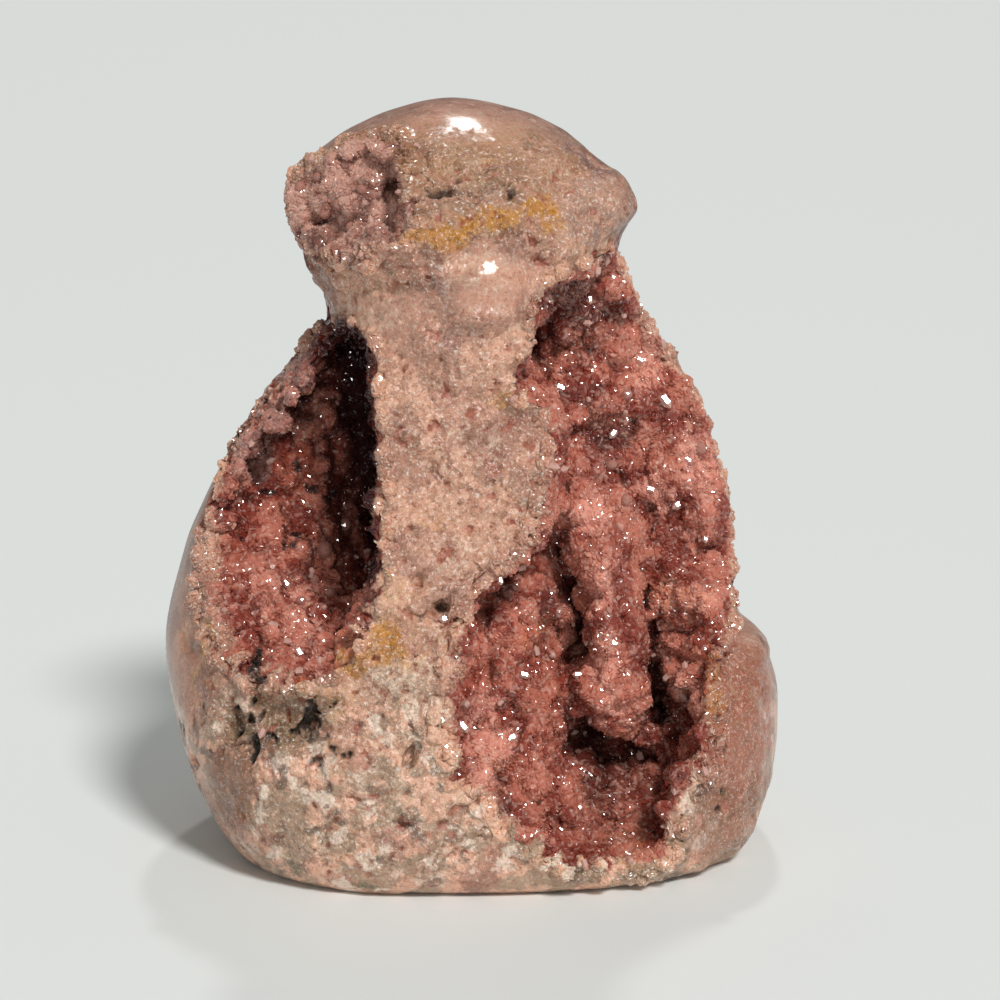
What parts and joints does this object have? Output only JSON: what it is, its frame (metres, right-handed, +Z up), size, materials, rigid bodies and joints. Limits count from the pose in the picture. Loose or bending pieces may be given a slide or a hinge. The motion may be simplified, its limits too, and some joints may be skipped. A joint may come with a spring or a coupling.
{
  "type": "standing crystal geode",
  "caption": "Pear-shaped polished stone that stands on a flat base, with a domed head, a column down its front, and crystal-lined hollows on both sides.",
  "frame": {"origin": "middle of the flat base, under the middle of the stone's box", "axes": "+Z up to the crown of the head; the column and both hollows face -Y; +X is to the right of someone who looks at the column"},
  "size_m": [0.1, 0.0732, 0.12],
  "materials": {
    "polished_stone": "polished, with mottled pink, cream and grey-green",
    "left_crystals": "glassy crystal crust, salmon to red-brown",
    "right_crystals": "glassy crystal crust, salmon to red-brown",
    "head_crystals": "glassy crystal crust, dusky pink"
  },
  "bodies": {
    "root": {"polished_stone": "polished_stone", "left_hollow_crystals": "left_crystals", "right_hollow_crystals": "right_crystals", "head_pocket_crystals": "head_crystals"}
  },
  "joints": []
}
